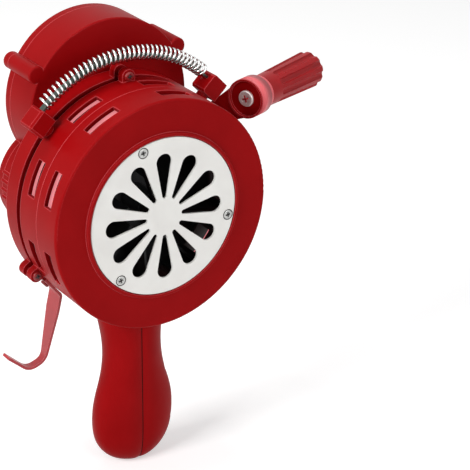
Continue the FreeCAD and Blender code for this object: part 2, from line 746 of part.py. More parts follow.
# Crank
def arm_outline(z0, z1, hub_r, eye_r, waist):
    """The arm's flat web with a round at each end and a slim waist, in the crank's frame."""
    hub = Part.makeCylinder(hub_r, z1 - z0, V(0, 0, z0))
    eye = Part.makeCylinder(eye_r, z1 - z0, V(crank_radius, 0, z0))
    mid = crank_radius * 0.56
    side = Part.BSplineCurve()
    side.interpolate([V(2.0, hub_r * 0.96, z0), V(mid, waist / 2, z0), V(crank_radius - 4.0, eye_r * 0.9, z0)])
    other = Part.BSplineCurve()
    other.interpolate([V(crank_radius - 4.0, -eye_r * 0.9, z0), V(mid, -waist / 2, z0), V(2.0, -hub_r * 0.96, z0)])
    ends = [Part.makeLine(V(crank_radius - 4.0, eye_r * 0.9, z0), V(crank_radius - 4.0, -eye_r * 0.9, z0)),
            Part.makeLine(V(2.0, -hub_r * 0.96, z0), V(2.0, hub_r * 0.96, z0))]
    wire = Part.Wire([side.toShape(), ends[0], other.toShape(), ends[1]])
    web = Part.Face(wire).extrude(V(0, 0, z1 - z0))
    return fused([web, hub, eye])


def make_crank_arm():
    face = crank_face_at
    web = arm_outline(face, face + arm_thick, arm_hub_r, arm_eye_r, arm_waist)
    eye = Part.makeCylinder(arm_eye_r, eye_depth + eye_rim_h, V(crank_radius, 0, face - eye_rim_h))
    hub = Part.makeCylinder(arm_hub_r, arm_thick + 1.0, V(0, 0, face))
    arm = fused([web, eye, hub])
    recess = Part.makeCylinder(arm_eye_r - eye_rim, eye_rim_h, V(crank_radius, 0, face - eye_rim_h))
    arm = arm.cut(recess)
    arm = arm.cut(Part.makeCylinder(knob_axle_r, 40.0, V(crank_radius, 0, face - 5.0)))
    arm = arm.cut(Part.makeCylinder(crank_shaft_r, 40.0, V(0, 0, face - 5.0)))
    return placed_on_crank(arm)


def make_crank_shaft():
    start = bevel_angles()[3] * 0.75
    end = crank_face_at + arm_thick + 4.0
    shaft = Part.makeCylinder(crank_shaft_r, end - start, V(0, 0, start))
    return placed_on_crank(shaft)


def make_crank_bush():
    outer = Part.makeCylinder(crank_shaft_r + crank_bush_wall, snout_end - snout_from, V(0, 0, snout_from))
    inner = Part.makeCylinder(crank_shaft_r + shaft_play, 90.0, V(0, 0, snout_from - 9.0))
    return placed_on_crank(outer.cut(inner))


def make_crank_spacer():
    """Keeps the arm clear of the snout and takes the crank's end play."""
    base = snout_end + crank_gap
    ring = Part.makeCylinder(crank_spacer_r, crank_face_at - base, V(0, 0, base))
    return placed_on_crank(ring.cut(Part.makeCylinder(crank_shaft_r, 40.0, V(0, 0, base - 5.0))))


def make_crank_nut():
    base = crank_face_at + arm_thick + 1.0
    nut = Part.makeCylinder(crank_nut_r, crank_nut_h, V(0, 0, base))
    rim = [e for e in nut.Edges if abs(e.BoundBox.ZMin - base - crank_nut_h) < 1e-6]
    nut = nut.makeFillet(1.4, rim)
    return placed_on_crank(nut.cut(Part.makeCylinder(crank_shaft_r, 4.0, V(0, 0, base - 1.0))))


# Knob: it turns on a flanged axle; the far end is closed by a cap
knob_from = crank_face_at + eye_depth + knob_float + collar_h
flange_seat = knob_from + knob_length - knob_cap_h - axle_flange_h - 2 * knob_float


def make_knob():
    end = knob_from + knob_length
    body = Part.makeCone(knob_near_r, knob_far_r, knob_length, V(crank_radius, 0, knob_from))
    rim = [e for e in body.Edges if abs(e.BoundBox.ZMin - end) < 1e-6]
    body = body.makeFillet(knob_end_r, rim)
    lean = math.degrees(math.atan2(knob_far_r - knob_near_r, knob_length))
    for k in range(knob_flutes):
        cutter = Part.makeCylinder(flute_r, knob_length, V(0, 0, flute_from))
        cutter = cutter.fuse(Part.makeSphere(flute_r, V(0, 0, flute_from)))
        cutter.rotate(V(0, 0, 0), V(0, 1, 0), lean)
        cutter.translate(V(knob_near_r + flute_r - flute_depth, 0, knob_from))
        cutter.rotate(V(0, 0, 0), V(0, 0, 1), 360.0 / knob_flutes * k)
        cutter.translate(V(crank_radius, 0, 0))
        body = body.cut(cutter)
    body = body.cut(Part.makeCylinder(knob_axle_r + shaft_play, knob_length, V(crank_radius, 0, knob_from)))
    seat = Part.makeCylinder(axle_flange_r + knob_float, knob_length, V(crank_radius, 0, flange_seat))
    cap = Part.makeCylinder(knob_cap_r, knob_length, V(crank_radius, 0, end - knob_cap_h))
    return placed_on_crank(body.cut(seat).cut(cap))


def make_knob_cap():
    end = knob_from + knob_length
    cap = Part.makeCylinder(knob_cap_r, knob_cap_h - 0.6, V(crank_radius, 0, end - knob_cap_h))
    dish = Part.makeCylinder(knob_cap_r - 1.6, 1.0, V(crank_radius, 0, end - 1.4))
    return placed_on_crank(cap.cut(dish))


def make_knob_collar():
    base = crank_face_at + eye_depth + knob_float
    ring = Part.makeCylinder(collar_r, collar_h, V(crank_radius, 0, base))
    ring = ring.makeFillet(0.5, [e for e in ring.Edges if e.Curve.TypeId == "Part::GeomCircle"])
    return placed_on_crank(ring.cut(Part.makeCylinder(knob_axle_r + shaft_play, 40.0, V(crank_radius, 0, base - 9.0))))


def make_knob_axle():
    start, seat = crank_face_at, flange_seat + knob_float
    axle = Part.makeCylinder(knob_axle_r, seat - start, V(crank_radius, 0, start))
    axle = axle.fuse(Part.makeCylinder(axle_flange_r, axle_flange_h, V(crank_radius, 0, seat))).removeSplitter()
    hole = Part.makeCylinder(screw_shank_r + 0.4, 12.0, V(crank_radius, 0, start - 1.0))
    return placed_on_crank(axle.cut(hole))


def make_knob_screw():
    screw = pan_screw(V(crank_radius, 0, crank_face_at), V(0, 0, -1), knob_screw_head_r, knob_screw_head_h,
                      screw_shank_r + 0.4, 10.0)
    return placed_on_crank(screw)


# Grip: two half shells that meet in the plane x = 0
def grip_section(height, half_width, front, depth, shrink, side):
    """Half of one level outline: a broad front, a finger hollow in the flank and a rounded back."""
    w, d = half_width - shrink, depth - 2 * shrink
    y0 = grip_front_y + front + shrink
    points = [(0.0, 0.0), (0.44, 0.0), (0.62, 0.07), (0.80, 0.18), (0.95, 0.34), (1.0, 0.55), (0.94, 0.78),
              (0.72, 0.94), (0.38, 0.995), (0.0, 1.0)]
    curve = Part.BSplineCurve()
    curve.interpolate([V(side * w * fx, y0 + d * fy, -height) for fx, fy in points])
    closing = Part.makeLine(V(0, y0 + d, -height), V(0, y0, -height))
    return Part.Wire([curve.toShape(), closing])


def make_tongue():
    """The tongue on the middle shell that the grip's halves close round."""
    return Part.makeBox(2 * tongue_half, tongue_y[1] - tongue_y[0], tongue_drop - inner_r - 1.0,
                        V(-tongue_half, tongue_y[0], -tongue_drop))


def grip_half(side):
    sections = [grip_section(h, w, f, d, 0.0, side) for h, w, f, d in grip_rows]
    half = Part.makeLoft(sections, True, False)
    inside = [row for row in grip_rows if grip_cavity_top <= row[0] <= grip_cavity_end]
    cavity = Part.makeLoft([grip_section(h, w, f, d, grip_wall, side) for h, w, f, d in inside], True, False)
    half = half.cut(cavity)
    for h in grip_screw_heights:
        boss = Part.makeCylinder(grip_boss_r, 60.0, V(0, grip_screw_y, -h), V(side, 0, 0))
        half = half.fuse(boss.common(Part.makeLoft(sections, True, False)))
    half = half.cut(cyl(drum_r, -30.0, ring_back_y + case_clearance)).cut(make_tongue())
    half = half.cut(cyl(drum_r + 40.0, -90.0, grip_front_y - 3.0))
    for h in grip_screw_heights:
        half = half.cut(Part.makeCylinder(grip_screw_r, 60.0, V(0, grip_screw_y, -h), V(side, 0, 0)) if side > 0 else
                        Part.makeCylinder(grip_screw_r, 12.0, V(0, grip_screw_y, -h), V(side, 0, 0)))
        if side > 0:
            seat = grip_width_at(h) - grip_screw_head_h - 2.5
            half = half.cut(Part.makeCylinder(grip_screw_head_r + 0.2, 60.0, V(seat, grip_screw_y, -h), V(1, 0, 0)))
    return max(half.removeSplitter().Solids, key=lambda s: s.Volume)


def grip_width_at(height):
    """The grip's half width at a height, between the rows that are given."""
    for low, high in zip(grip_rows, grip_rows[1:]):
        if low[0] <= height <= high[0]:
            t = (height - low[0]) / (high[0] - low[0])
            return low[1] + (high[1] - low[1]) * t
    return grip_rows[-1][1]


def make_grip_screws():
    screws = []
    for h in grip_screw_heights:
        seat = grip_width_at(h) - grip_screw_head_h - 2.5
        screws.append(pan_screw(V(seat, grip_screw_y, -h), V(1, 0, 0), grip_screw_head_r, grip_screw_head_h,
                                grip_screw_r, seat + 10.0))
    return screws


# Carrying handle
def handle_point(degrees, offset=0.0):
    """A point on the handle's arc, 0 at the top, positive to the right."""
    a = math.radians(degrees)
    r = handle_arc_r + offset
    return V(r * math.sin(a), handle_y, handle_arc_z + r * math.cos(a))


def make_strap():
    high = handle_arc_r - strap_drop + strap_thick / 2
    arc = tube(high, high - strap_thick, handle_y - strap_width / 2, handle_y + strap_width / 2, 0.0, handle_arc_z)
    reach = math.radians(handle_half_deg + 7.0)
    p, q = [(300 * math.sin(a), handle_arc_z + 300 * math.cos(a)) for a in (-reach, reach)]
    return arc.common(extruded([(0.0, handle_arc_z), p, q], handle_y - 10.0, handle_y + 10.0))


def coil_centre(turn):
    """The wire's middle line: turn counts whole turns from the left end."""
    bend = -handle_half_deg + 2.0 * handle_half_deg * turn / coil_turns
    a = 2.0 * math.pi * turn + math.radians(coil_start_deg)
    base = handle_point(bend, coil_r * math.cos(a))
    return V(base.x, handle_y + coil_r * math.sin(a), base.z)


def coil_lead(point, outward, side):
    """The wire's end: a bend from the coil to the strap's own direction, then a straight run."""
    a = math.radians(handle_half_deg)
    along = V(side * math.cos(a), 0, -math.sin(a))
    half = outward.getAngle(along) / 2.0
    corner = point + outward * (coil_end_bend * math.tan(half))
    leave = corner + along * (coil_end_bend * math.tan(half))
    inward = along - outward
    inward.normalize()
    middle = corner + inward * (coil_end_bend / math.cos(half) - coil_end_bend)
    return leave, middle, leave + along * coil_end_straight, along


def coil_ends():
    """Both ends of the wire, from the first and the last quarter turn."""
    ends = []
    for side, turn, step in ((-1, 0.0, 0.25), (1, float(coil_turns), -0.25)):
        arc = Part.Arc(coil_centre(turn), coil_centre(turn + step / 2), coil_centre(turn + step)).toShape()
        tangent = arc.tangentAt(arc.FirstParameter) * -1.0
        ends.append(coil_lead(coil_centre(turn), tangent, side))
    return ends


def make_spring():
    """The spring's wire as one unbroken tube: arcs of a quarter turn each, swept in one go."""
    left, right = coil_ends()
    edges = [Part.makeLine(left[2], left[0]), Part.Arc(left[0], left[1], coil_centre(0.0)).toShape()]
    for k in range(int(coil_turns * 4)):
        a, b, c = [coil_centre((k + t) / 4.0) for t in (0.0, 0.5, 1.0)]
        edges.append(Part.Arc(a, b, c).toShape())
    edges.append(Part.Arc(coil_centre(float(coil_turns)), right[1], right[0]).toShape())
    edges.append(Part.makeLine(right[0], right[2]))
    path = Part.Wire(edges)
    profile = Part.Wire([Part.makeCircle(coil_wire_r, left[2], left[3])])
    wire = Part.BRepOffsetAPI.MakePipeShell(path)
    wire.add(profile)
    wire.build()
    wire.makeSolid()
    points = [coil_centre(k / 40.0) for k in range(int(coil_turns * 40) + 1)]
    gap = min((points[i] - points[i + j]).Length for i in range(0, len(points) - 60, 7) for j in range(28, 60))
    section = math.pi * coil_wire_r ** 2 * path.Length
    print("spring: least gap to itself %.2f mm, length %.0f mm, section by length %.0f mm3" % (
        gap - 2 * coil_wire_r, path.Length, section))
    return wire.shape()


def block_lean(side):
    """Angle of a block round the rotor's axis."""
    return block_right_deg if side > 0 else 180.0 - block_left_deg


def make_block(side):
    long, wide, high = block_size
    lean = block_lean(side)
    block = Part.makeBox(long, wide, high, V(-long / 2, -wide / 2, -high / 2))
    corners = [e for e in block.Edges if e.BoundBox.YLength > wide / 2 or abs(e.BoundBox.XMin * side - long / 2) < 1e-6]
    block = block.makeChamfer(block_chamfer, corners)
    block.rotate(V(0, 0, 0), V(0, 1, 0), 90.0 - lean)
    block.translate(polar(block_at_r, lean, handle_y))
    foot = Part.makeCylinder(block_neck_r, block_at_r - drum_r, polar(drum_r - 1.0, lean, handle_y), polar(1.0, lean))
    block = fused([block, foot.cut(cyl(drum_r, -50.0, 90.0))])
    block = block.cut(make_strap())
    end = coil_ends()[0 if side < 0 else 1]
    block = block.cut(Part.makeCylinder(coil_wire_r, coil_end_straight, end[0], end[3]))
    return block.cut(bolt_hole(side))


def bolt_hole(side):
    lean = block_lean(side)
    return Part.makeCylinder(block_bolt_r, block_bolt_length, polar(inner_r, lean, handle_y), polar(1.0, lean))


def bolt_seat(side):
    lean = block_lean(side)
    return Part.makeCylinder(block_bolt_r + 0.8, 4.0, polar(inner_r - 3.9, lean, handle_y), polar(1.0, lean))


def make_block_bolts():
    bolts = []
    for side in (-1, 1):
        lean = block_lean(side)
        bolts.append(pan_screw(polar(inner_r + 0.1, lean, handle_y), polar(-1.0, lean), block_bolt_r + 0.8, 1.2,
                               block_bolt_r, block_bolt_length - 0.1))
    return bolts


# Belt hook
def hook_strip():
    """The bent strip: a plate on the drum, then a straight run down that turns out and up at its tip."""
    start = polar(drum_r + hook_thick / 2, hook_plate_deg[0])
    corners = [V(start.x, 0, start.z)] + [V(start.x + dx, 0, start.z + dz) for dx, dz in hook_steps]
    edges = [[], []]
    leave = [corners[0], corners[0]]
    last = [None, None]
    for k in range(1, len(corners)):
        into = corners[k] - corners[k - 1]
        into.normalize()
        side = V(-into.z, 0, into.x)
        for edge, sign in ((0, 1), (1, -1)):
            shift = side * (sign * hook_thick / 2)
            if k == 1:
                last[edge] = corners[0] + shift
            if k == len(corners) - 1:
                edges[edge].append(Part.makeLine(last[edge], corners[k] + shift))
                last[edge] = corners[k] + shift
                continue
            onward = corners[k + 1] - corners[k]
            onward.normalize()
            bend = hook_bends[k - 1]
            half = into.getAngle(onward) / 2.0
            run = bend * math.tan(half)
            inner = onward - into
            inner.normalize()
            centre = corners[k] + inner * (bend / math.cos(half))
            turn = [corners[k] - into * run, centre - inner * bend, corners[k] + onward * run]
            marks = []
            for p in turn:
                out = p - centre
                out.normalize()
                grow = 1.0 if (shift.dot(centre - corners[k]) < 0) else -1.0
                marks.append(p + out * (grow * hook_thick / 2))
            edges[edge].append(Part.makeLine(last[edge], marks[0]))
            edges[edge].append(Part.Arc(*marks).toShape())
            last[edge] = marks[2]
    first = [edges[0][0].valueAt(edges[0][0].FirstParameter), edges[1][0].valueAt(edges[1][0].FirstParameter)]
    around = edges[0] + [Part.makeLine(last[0], last[1])] + edges[1] + [Part.makeLine(first[0], first[1])]
    wire = Part.Wire(Part.__sortEdges__(around))
    strip = Part.Face(wire).extrude(V(0, hook_width, 0))
    strip.translate(V(0, hook_y - hook_width / 2, 0))
    slope = (hook_width - hook_tip_width) / 2
    taper = [start.z - drop for drop in hook_taper_drops]
    rows = [(start.z + 40.0, hook_width / 2), (taper[0], hook_width / 2), (taper[1], hook_width / 2 - slope),
            (taper[1] - 30.0, hook_width / 2 - slope)]
    far = -2.0 * drum_r
    outline = [V(far, hook_y + h, z) for z, h in rows] + [V(far, hook_y - h, z) for z, h in reversed(rows)]
    tapering = Part.Face(Part.makePolygon(outline + outline[:1])).extrude(V(3.0 * drum_r, 0, 0))
    strip = strip.common(tapering)
    head = Part.makeCylinder(hook_screw_head_r + 0.2, 4.0, polar(drum_r + hook_thick, hook_screw_deg, hook_y),
                             polar(1.0, hook_screw_deg))
    return strip.cut(cyl(drum_r, -30.0, 60.0)).cut(head)


def hook_hole(radius, depth):
    return Part.makeCylinder(radius, depth, polar(drum_r - 6.0, hook_screw_deg, hook_y), polar(1.0, hook_screw_deg))


def make_hook_screw():
    at = polar(drum_r + hook_thick, hook_screw_deg, hook_y)
    return pan_screw(at, polar(1.0, hook_screw_deg), hook_screw_head_r, 1.3, screw_shank_r, 6.0)


def main():
    cover = make_front_cover()
    shell = make_mid_shell()
    for side in (-1, 1):
        shell = shell.cut(bolt_hole(side)).cut(bolt_seat(side))
    shell = shell.cut(hook_hole(screw_shank_r, 12.0))
    export("front_cover", cover)
    export("grille_plate", make_grille())
    export("grille_screws", *make_grille_screws())
    export("front_bearing", make_bearing(front_bearing_y, bearing_width))
    export("stator_ring", make_stator())
    export("rotor", make_rotor())
    shaft_start, shaft_end = front_bearing_y - 0.5, bevel_apex_y - bevel_angles()[3] + 3.8
    export("rotor_shaft", cyl(shaft_r, shaft_start, shaft_end))
    export("mid_shell", shell)
    export("rear_ring", make_rear_ring())
    export("body_screws", *make_body_screws())
    export("rear_bearing", make_bearing(rear_bearing_y, bearing_width))
    export("gear_case_front", make_case_front())
    export("gear_case_rear", make_case_rear())
    export("case_screws", *make_case_screws())
    export("rotor_pinion", make_rotor_pinion())
    export("thrust_washer", make_thrust_washer())
    export("sleeve_gear", make_sleeve_gear())
    wheel, pinion = make_layshaft_gears()
    export("layshaft_wheel", wheel)
    export("layshaft_pinion", pinion)
    export("layshaft", cyl(layshaft_r, layshaft_front, layshaft_back, 0.0, case_rise))
    export("layshaft_bushes", *make_layshaft_bushes())
    export("crank_bevel", make_crank_bevel())
    export("crank_shaft", make_crank_shaft())
    export("crank_bush", make_crank_bush())
    export("crank_arm", make_crank_arm())
    export("crank_spacer", make_crank_spacer())
    export("crank_nut", make_crank_nut())
    export("knob_axle", make_knob_axle())
    export("knob_screw", make_knob_screw())
    export("knob_collar", make_knob_collar())
    export("crank_knob", make_knob())
    export("knob_cap", make_knob_cap())
    export("grip_left", grip_half(-1))
    export("grip_right", grip_half(1))
    export("grip_screws", *make_grip_screws())
    export("handle_block_left", make_block(-1))
    export("handle_block_right", make_block(1))
    export("handle_bolts", *make_block_bolts())
    export("handle_strap", make_strap())
    export("handle_spring", make_spring())
    export("belt_hook", hook_strip().cut(hook_hole(screw_shank_r, 12.0)))
    export("hook_screw", make_hook_screw())


main()
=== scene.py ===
import math

import bmesh
import bpy
from mathutils import Matrix, Vector


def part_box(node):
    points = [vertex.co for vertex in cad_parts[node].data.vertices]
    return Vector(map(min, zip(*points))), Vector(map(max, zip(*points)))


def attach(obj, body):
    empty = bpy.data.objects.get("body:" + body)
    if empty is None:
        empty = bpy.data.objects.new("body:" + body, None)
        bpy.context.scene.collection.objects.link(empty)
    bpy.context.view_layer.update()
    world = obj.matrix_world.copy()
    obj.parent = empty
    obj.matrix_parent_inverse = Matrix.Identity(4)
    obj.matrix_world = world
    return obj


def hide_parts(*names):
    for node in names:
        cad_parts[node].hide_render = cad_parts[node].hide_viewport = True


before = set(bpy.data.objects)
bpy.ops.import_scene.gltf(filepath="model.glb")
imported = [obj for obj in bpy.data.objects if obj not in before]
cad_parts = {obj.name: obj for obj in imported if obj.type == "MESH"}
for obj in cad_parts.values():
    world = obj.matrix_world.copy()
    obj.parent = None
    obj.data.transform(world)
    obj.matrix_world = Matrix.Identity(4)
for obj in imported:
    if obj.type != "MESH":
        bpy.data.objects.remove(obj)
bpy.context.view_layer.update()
MM = 0.001


# ---------------------------------------------------------------------------
# The drum: front cover, middle shell and rear ring, injection moulded in red
# ABS. The tool was spark eroded to a fine satin grain, and every edge is broken;
# each rim carries a thin paler line, a painted highlight with a little wear. The
# sound chamber inside is painted near black as shade.
def linear(code):
    """An sRGB hex colour as Blender's linear values."""
    parts = [int(code[i:i + 2], 16) / 255 for i in (1, 3, 5)]
    return [c / 12.92 if c <= 0.04045 else ((c + 0.055) / 1.055) ** 2.4 for c in parts] + [1.0]


def add(tree, kind, values=None, links=None, **settings):
    """One node with its settings, its socket values and its links."""
    node = tree.nodes.new(kind)
    for name, value in settings.items():
        setattr(node, name, value)
    for name, value in (values or {}).items():
        node.inputs[name].default_value = value
    for name, source in (links or {}).items():
        tree.links.new(source, node.inputs[name])
    return node


ROUGH_SPREAD, GRAIN_DEPTH_MM = 0.05, 0.1
# The share of the noise's range over which the first colour turns into the second.
DRIFT_FROM, DRIFT_TO = 0.3, 0.7
# Cosine between the flat and the rounded normal where the painted edge highlight starts and is full, and how pale it
# gets.
EDGE_STARTS, EDGE_FULL, EDGE_STRENGTH = 0.995, 0.86, 0.8


def finish(name, dark, light, rough, patch_mm=14.0, grain_mm=0.5, grain=0.10, metallic=0.0, shine=0.5,
           edge_mm=0.0, edge_colour=None):
    """A surface from real sizes: a slow drift between two colours, a fine grain in bump and gloss, soft edges.

    The finest grains are drawn coarser than the real ones, so that they show in the render.
    """
    made = bpy.data.materials.new(name)
    made.use_nodes = True
    tree = made.node_tree
    tree.nodes.clear()
    where = add(tree, "ShaderNodeTexCoord").outputs["Object"]
    drift = add(tree, "ShaderNodeTexNoise", {"Scale": 1 / (patch_mm * MM), "Detail": 3.0, "Roughness": 0.55},
                {"Vector": where})
    fine = add(tree, "ShaderNodeTexNoise", {"Scale": 1 / (grain_mm * MM), "Detail": 2.0, "Roughness": 0.6},
               {"Vector": where})
    spread = add(tree, "ShaderNodeMapRange", {"From Min": DRIFT_FROM, "From Max": DRIFT_TO},
                 {"Value": drift.outputs["Fac"]})
    colour = add(tree, "ShaderNodeMix", {6: linear(dark), 7: linear(light)}, {0: spread.outputs["Result"]},
                 data_type="RGBA").outputs[2]
    gloss = add(tree, "ShaderNodeMapRange", {"To Min": rough - ROUGH_SPREAD, "To Max": rough + ROUGH_SPREAD},
                {"Value": fine.outputs["Fac"]})
    bump = add(tree, "ShaderNodeBump", {"Strength": grain, "Distance": GRAIN_DEPTH_MM * MM},
               {"Height": fine.outputs["Fac"]})
    if edge_mm:
        round_off = add(tree, "ShaderNodeBevel", {"Radius": edge_mm * MM}, samples=6)
        tree.links.new(round_off.outputs["Normal"], bump.inputs["Normal"])
        if edge_colour:
            flat = add(tree, "ShaderNodeNewGeometry").outputs["Normal"]
            agree = add(tree, "ShaderNodeVectorMath", None, {0: round_off.outputs["Normal"], 1: flat},
                        operation="DOT_PRODUCT")
            # Painted highlight: the colour turns paler where the rounded normal leaves the flat one, at the edges.
            edge_highlight = add(tree, "ShaderNodeMapRange",
                         {"From Min": EDGE_STARTS, "From Max": EDGE_FULL, "To Max": EDGE_STRENGTH},
                         {"Value": agree.outputs["Value"]})
            colour = add(tree, "ShaderNodeMix", {7: linear(edge_colour)},
                         {0: edge_highlight.outputs["Result"], 6: colour}, data_type="RGBA").outputs[2]
    surface = add(tree, "ShaderNodeBsdfPrincipled", {"Metallic": metallic, "Specular IOR Level": shine},
                  {"Base Color": colour, "Roughness": gloss.outputs["Result"], "Normal": bump.outputs["Normal"]},
                  name="surface")
    add(tree, "ShaderNodeOutputMaterial", None, {"Surface": surface.outputs["BSDF"]})
    return made


def paint_over(material, code, radius_mm=None, behind_mm=None, half_width_mm=None):
    """Another colour inside a radius round the rotor's axis and behind a plane, or in a strip at x = 0."""
    tree = material.node_tree
    split = add(tree, "ShaderNodeSeparateXYZ", None, {0: add(tree, "ShaderNodeTexCoord").outputs["Object"]})
    if half_width_mm:
        aside = add(tree, "ShaderNodeMath", None, {0: split.outputs["X"]}, operation="ABSOLUTE")
        mask = add(tree, "ShaderNodeMath", {1: half_width_mm * MM}, {0: aside.outputs[0]}, operation="LESS_THAN")
    else:
        flat = add(tree, "ShaderNodeCombineXYZ", None, {0: split.outputs["X"], 2: split.outputs["Z"]})
        away = add(tree, "ShaderNodeVectorMath", None, {0: flat.outputs[0]}, operation="LENGTH")
        near = add(tree, "ShaderNodeMath", {1: radius_mm * MM}, {0: away.outputs["Value"]}, operation="LESS_THAN")
        behind = add(tree, "ShaderNodeMath", {1: behind_mm * MM}, {0: split.outputs["Y"]}, operation="GREATER_THAN")
        mask = add(tree, "ShaderNodeMath", None, {0: near.outputs[0], 1: behind.outputs[0]}, operation="MULTIPLY")
    surface = tree.nodes["surface"]
    under = surface.inputs["Base Color"].links[0].from_socket
    mixed = add(tree, "ShaderNodeMix", {7: linear(code)}, {0: mask.outputs[0], 6: under}, data_type="RGBA")
    tree.links.new(mixed.outputs[2], surface.inputs["Base Color"])


def dress(material, *nodes):
    """Gives CAD nodes their finish."""
    for name in nodes:
        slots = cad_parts[name].data.materials
        for i in range(len(slots)):
            slots[i] = material


# Dyed ABS from an eroded tool: one even, deep red with a soft sheen, and a paler line on each edge, a painted highlight
# with a little wear. The low specular level keeps the red as deep as in the picture, where no lamp or sky shows in it.
ABS_DARK, ABS_LIGHT, ABS_EDGE_HIGHLIGHT = "#8C0508", "#96080C", "#E25C62"
abs_look = dict(rough=0.42, patch_mm=30.0, grain_mm=0.7, grain=0.12, shine=0.05, edge_mm=0.8, edge_colour=ABS_EDGE_HIGHLIGHT)
# Painted shade: inside this radius and behind the front face, the drum's red is turned near black.
CHAMBER_PAINTED_SHADE, CHAMBER_R_MM, CHAMBER_FROM_Y_MM = "#0B0606", 62.3, -20.3
drum_abs = finish("spark_eroded_red_abs_drum", ABS_DARK, ABS_LIGHT, **abs_look)
paint_over(drum_abs, CHAMBER_PAINTED_SHADE, radius_mm=CHAMBER_R_MM, behind_mm=CHAMBER_FROM_Y_MM)
dress(drum_abs, "front_cover", "mid_shell", "rear_ring")


# ---------------------------------------------------------------------------
# The grille plate: steel sheet punched with twelve drop-shaped holes, then powder
# coated off-white. The powder's orange peel, about a millimetre wide, gives soft
# ripples in its reflections.
white_powder = finish("off_white_powder_coat", "#E4E2DE", "#EDECE8", 0.36, patch_mm=20.0, grain_mm=1.1, grain=0.16,
                      edge_mm=0.25)
dress(white_powder, "grille_plate")

# Bright zinc: a grey, slightly cloudy metal.
zinc = finish("zinc_plated_steel", "#8F908F", "#C6C6C3", 0.30, patch_mm=1.6, grain_mm=0.25, grain=0.2, metallic=1.0,
              edge_mm=0.15)
dress(zinc, "grille_screws")


def piece(name, mesh, material, body, replaced=()):
    """A finished bmesh as an object that rides on its body."""
    data = bpy.data.meshes.new(name)
    mesh.to_mesh(data)
    mesh.free()
    data.materials.append(material)
    data.shade_smooth()
    made = bpy.data.objects.new(name, data)
    bpy.context.scene.collection.objects.link(made)
    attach(made, body)
    if replaced:
        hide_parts(*replaced)


def facing(axis):
    """A turn that takes +Z to the axis."""
    return Vector(axis).to_track_quat("Z", "Y").to_matrix().to_4x4()


CROSS_TURNED = (20.0, 110.0)
SLOT_WIDTH_SHARE, SLOT_DEPTH_MM, SLOT_BEVEL_MM = 0.26, 0.12, 0.03
RING_SIDES, RING_DEPTH_MM = 32, 0.06


def screw_marks(name, places, axis, body, reach, ring=None, filled=None):
    """Two crossed driver slots on each screw head, near black with painted shade unless filled with another colour, and
    a painted shadow ring round the head.
    """
    mesh = bmesh.new()
    for place in places:
        stand = Matrix.Translation(Vector(place) * MM) @ facing(axis)
        for angle in CROSS_TURNED:
            turned = stand @ Matrix.Rotation(math.radians(angle), 4, "Z")
            size = Matrix.Diagonal((reach * MM, SLOT_WIDTH_SHARE * reach * MM, SLOT_DEPTH_MM * MM, 1))
            bar = bmesh.ops.create_cube(mesh, size=1.0, matrix=turned @ size)["verts"]
            rims = list({e for v in bar for e in v.link_edges})
            bmesh.ops.bevel(mesh, geom=rims, offset=SLOT_BEVEL_MM * MM, segments=1, affect="EDGES", profile=0.5,
                            material=-1)
        if ring:
            inner, outer, drop = ring
            level = stand @ Matrix.Translation((0, 0, drop * MM))
            top = bmesh.ops.create_circle(mesh, segments=RING_SIDES, radius=inner * MM, matrix=level)["verts"]
            flat = bmesh.ops.extrude_edge_only(mesh, edges=list({e for v in top for e in v.link_edges}))["geom"]
            grown = [v for v in flat if isinstance(v, bmesh.types.BMVert)]
            bmesh.ops.scale(mesh, verts=grown, vec=(outer / inner, outer / inner, 1.0), space=level.inverted())
            bmesh.ops.solidify(mesh, geom=[f for f in flat if isinstance(f, bmesh.types.BMFace)],
                               thickness=RING_DEPTH_MM * MM)
    bmesh.ops.recalc_face_normals(mesh, faces=mesh.faces[:])
    piece(name, mesh, filled or slot_shade, body)


# Painted shade in the driver slots and round the screw heads: a dull near-black.
slot_shade = finish("painted_shade_in_the_slots", "#171413", "#26201E", 0.5, patch_mm=1.0, grain_mm=0.3, grain=0.1)


def round_axis(radius, degrees, y):
    """A point round the rotor's axis in millimetres, 0 to the right and 90 up."""
    turned = math.radians(degrees)
    return radius * math.cos(turned), y, radius * math.sin(turned)


TOWARDS_FRONT, MARK_LIFT_MM = (0, -1, 0), 0.02
GRILLE_SCREWS_R_MM, GRILLE_SCREWS_AT, GRILLE_CROSS_MM = 41.0, (108.0, 228.0, 348.0), 2.6
GRILLE_RING_MM = (2.62, 3.05, -0.22)  # inner and outer radius, and its drop below the head
grille_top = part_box("grille_screws")[0].y / MM
screw_marks("grille_screw_marks",
            [round_axis(GRILLE_SCREWS_R_MM, a, grille_top - MARK_LIFT_MM) for a in GRILLE_SCREWS_AT],
            TOWARDS_FRONT, "siren_body", GRILLE_CROSS_MM, ring=GRILLE_RING_MM)


# ---------------------------------------------------------------------------
# Behind the grille: a stator ring with its ports, whose pale red flange rims carry
# a painted glow in the side slots and whose inside is painted black as shade, a black
# glass-filled rotor, ground bearing rings and the turned shaft.
pale_look = dict(rough=0.45, patch_mm=12.0, grain_mm=0.7, grain=0.1, edge_mm=0.3)
stator_abs = finish("pale_red_stator_painted_glow", "#E8868B", "#F29AA0", **pale_look)
STATOR_INSIDE_R_MM, WHOLE_DEPTH_Y_MM, RIM_PAINTED_GLOW = 60.2, -30.0, 0.8
# Painted shade: inside the flange rims the stator is turned near black.
paint_over(stator_abs, CHAMBER_PAINTED_SHADE, radius_mm=STATOR_INSIDE_R_MM, behind_mm=WHOLE_DEPTH_Y_MM)
# Painted glow: an emission in the rims' own colour stands in for the light that the shell's shade keeps from them.
stator_tree = stator_abs.node_tree
stator_surface = stator_tree.nodes["surface"]
stator_tree.links.new(stator_surface.inputs["Base Color"].links[0].from_socket, stator_surface.inputs["Emission Color"])
stator_surface.inputs["Emission Strength"].default_value = RIM_PAINTED_GLOW
dress(stator_abs, "stator_ring")
